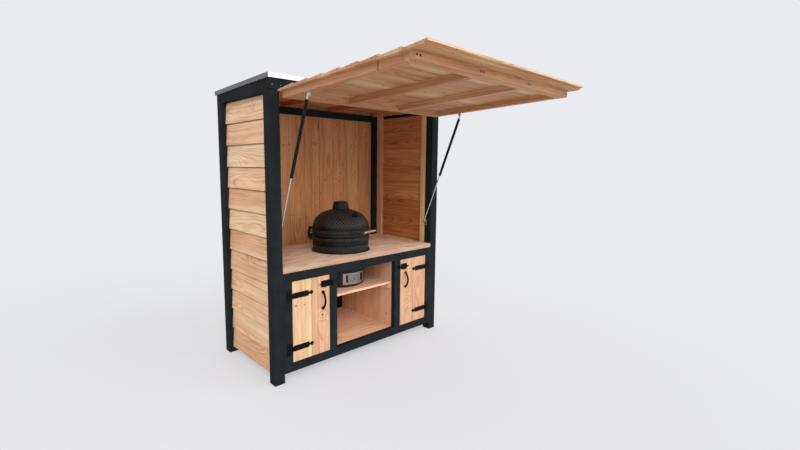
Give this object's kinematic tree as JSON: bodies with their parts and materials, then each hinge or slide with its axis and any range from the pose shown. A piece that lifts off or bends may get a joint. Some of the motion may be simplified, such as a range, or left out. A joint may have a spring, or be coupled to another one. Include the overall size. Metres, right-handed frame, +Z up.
{
  "type": "outdoor kitchen",
  "caption": "Timber outdoor kitchen with a lift-up roof flap on gas struts, cupboards with strap hinges and a built-in ceramic kamado grill.",
  "frame": {"origin": "on the floor at the centre of the four posts", "axes": "X to the right along the front, Y to the back, Z up; the kitchen opens towards -Y"},
  "size_m": [1.86, 2.3385, 2.3139],
  "materials": {
    "douglas_timber": "planed, untreated",
    "painted_timber": "anthracite paint",
    "black_steel": "black powder coat",
    "bright_steel": "satin",
    "glazed_shell": "charcoal dimpled glaze",
    "fire_clay": "matt",
    "cast_iron": "matt black",
    "roof_rubber": "matt sheet",
    "trim_metal": "mill finish",
    "felt": "felt",
    "grip_wood": "pale varnished",
    "chrome": "bright"
  },
  "bodies": {
    "frame": {"corner_posts": "painted_timber", "front_fascia": "painted_timber", "side_top_rails": "painted_timber", "rear_frame": "painted_timber", "back_boards": "douglas_timber", "right_cladding": "douglas_timber", "left_cladding": "douglas_timber", "side_battens": "douglas_timber", "roof_frame": "douglas_timber", "roof_deck": "douglas_timber", "roof_sheet": "roof_rubber", "roof_trim": "trim_metal", "front_frame": "painted_timber", "cabinet_floor": "douglas_timber", "bay_partitions": "douglas_timber", "grill_shelf": "douglas_timber", "worktop_bearers": "douglas_timber", "worktop_planks": "douglas_timber", "door_hinge_plates": "black_steel", "bolt_keeps": "black_steel", "flap_hinge_plates": "black_steel", "fascia_screws": "bright_steel", "strut_post_brackets": "bright_steel", "kamado_base": "glazed_shell", "kamado_trim_ring": "black_steel", "fire_bowl": "fire_clay", "fire_ring": "fire_clay", "charcoal_grate": "cast_iron", "cooking_grid": "bright_steel", "base_band": "black_steel", "hinge_bolts": "bright_steel", "draft_frame": "bright_steel"},
    "flap": {"flap_boards": "douglas_timber", "flap_frame": "douglas_timber", "flap_screws": "bright_steel", "flap_hinge_straps": "black_steel", "strut_seats": "bright_steel"},
    "left_barrel": {"left_strut_barrel": "black_steel"},
    "right_barrel": {"right_strut_barrel": "black_steel"},
    "left_rod": {"left_strut_rod": "bright_steel"},
    "right_rod": {"right_strut_rod": "bright_steel"},
    "left_door": {"left_door": "douglas_timber", "left_door_straps": "black_steel", "left_door_pull": "black_steel", "left_bolt_plate": "black_steel"},
    "right_door": {"right_door": "douglas_timber", "right_door_straps": "black_steel", "right_door_pull": "black_steel", "right_bolt_plate": "black_steel"},
    "left_bolt": {"left_bolt": "black_steel"},
    "right_bolt": {"right_bolt": "black_steel"},
    "lid": {"kamado_lid": "glazed_shell", "lid_felt": "felt", "lid_gauge": "black_steel", "lid_band": "black_steel", "lid_grip_brackets": "chrome", "lid_grip": "grip_wood", "vent_collar": "cast_iron"},
    "vent_disc": {"vent_disc": "cast_iron"},
    "draft_door": {"draft_door": "bright_steel"}
  },
  "joints": [
    {"name": "flap_lift", "type": "hinge", "parent": "frame", "child": "flap", "pos_m": [0, -0.4685, 2.204], "axis": [1, 0, 0], "range_deg": [0, 92.2]},
    {"name": "left_strut_swing", "type": "hinge", "parent": "flap", "child": "left_barrel", "pos_m": [-0.818, -0.79368, 2.14044], "axis": [1, 0, 0], "range_deg": [-113.05, 0]},
    {"name": "left_strut_stroke", "type": "slide", "parent": "left_barrel", "child": "left_rod", "axis": [0, 0.38, -0.925], "range_m": [-0.3424, 0]},
    {"name": "right_strut_swing", "type": "hinge", "parent": "flap", "child": "right_barrel", "pos_m": [0.818, -0.79368, 2.14044], "axis": [1, 0, 0], "range_deg": [-113.05, 0]},
    {"name": "right_strut_stroke", "type": "slide", "parent": "right_barrel", "child": "right_rod", "axis": [0, 0.38, -0.925], "range_m": [-0.3424, 0]},
    {"name": "left_door_swing", "type": "hinge", "parent": "frame", "child": "left_door", "pos_m": [-0.7615, -0.456, 0.465], "axis": [0, 0, -1], "range_deg": [0, 110]},
    {"name": "left_bolt_slide", "type": "slide", "parent": "left_door", "child": "left_bolt", "axis": [1, 0, 0], "range_m": [0, 0.024]},
    {"name": "right_door_swing", "type": "hinge", "parent": "frame", "child": "right_door", "pos_m": [0.7615, -0.456, 0.465], "axis": [0, 0, 1], "range_deg": [0, 110]},
    {"name": "right_bolt_slide", "type": "slide", "parent": "right_door", "child": "right_bolt", "axis": [-1, 0, 0], "range_m": [0, 0.024]},
    {"name": "lid_open", "type": "hinge", "parent": "frame", "child": "lid", "pos_m": [-0.11079, 0.19422, 1.053], "axis": [-0.9613, -0.2756, 0], "range_deg": [0, 70]},
    {"name": "vent_turn", "type": "hinge", "parent": "lid", "child": "vent_disc", "pos_m": [-0.027, -0.098, 1.338], "axis": [0, 0, 1], "range_deg": [0, 36]},
    {"name": "draft_slide", "type": "hinge", "parent": "frame", "child": "draft_door", "pos_m": [-0.027, -0.098, 0.666], "axis": [0, 0, 1], "range_deg": [-6, 12]}
  ],
  "couplings": [
    {"joint": "left_strut_swing", "follows": "flap_lift", "ratio": -1.2256},
    {"joint": "left_strut_stroke", "follows": "flap_lift", "m_per_rad": -0.21247},
    {"joint": "right_strut_swing", "follows": "flap_lift", "ratio": -1.2256},
    {"joint": "right_strut_stroke", "follows": "flap_lift", "m_per_rad": -0.21247}
  ]
}
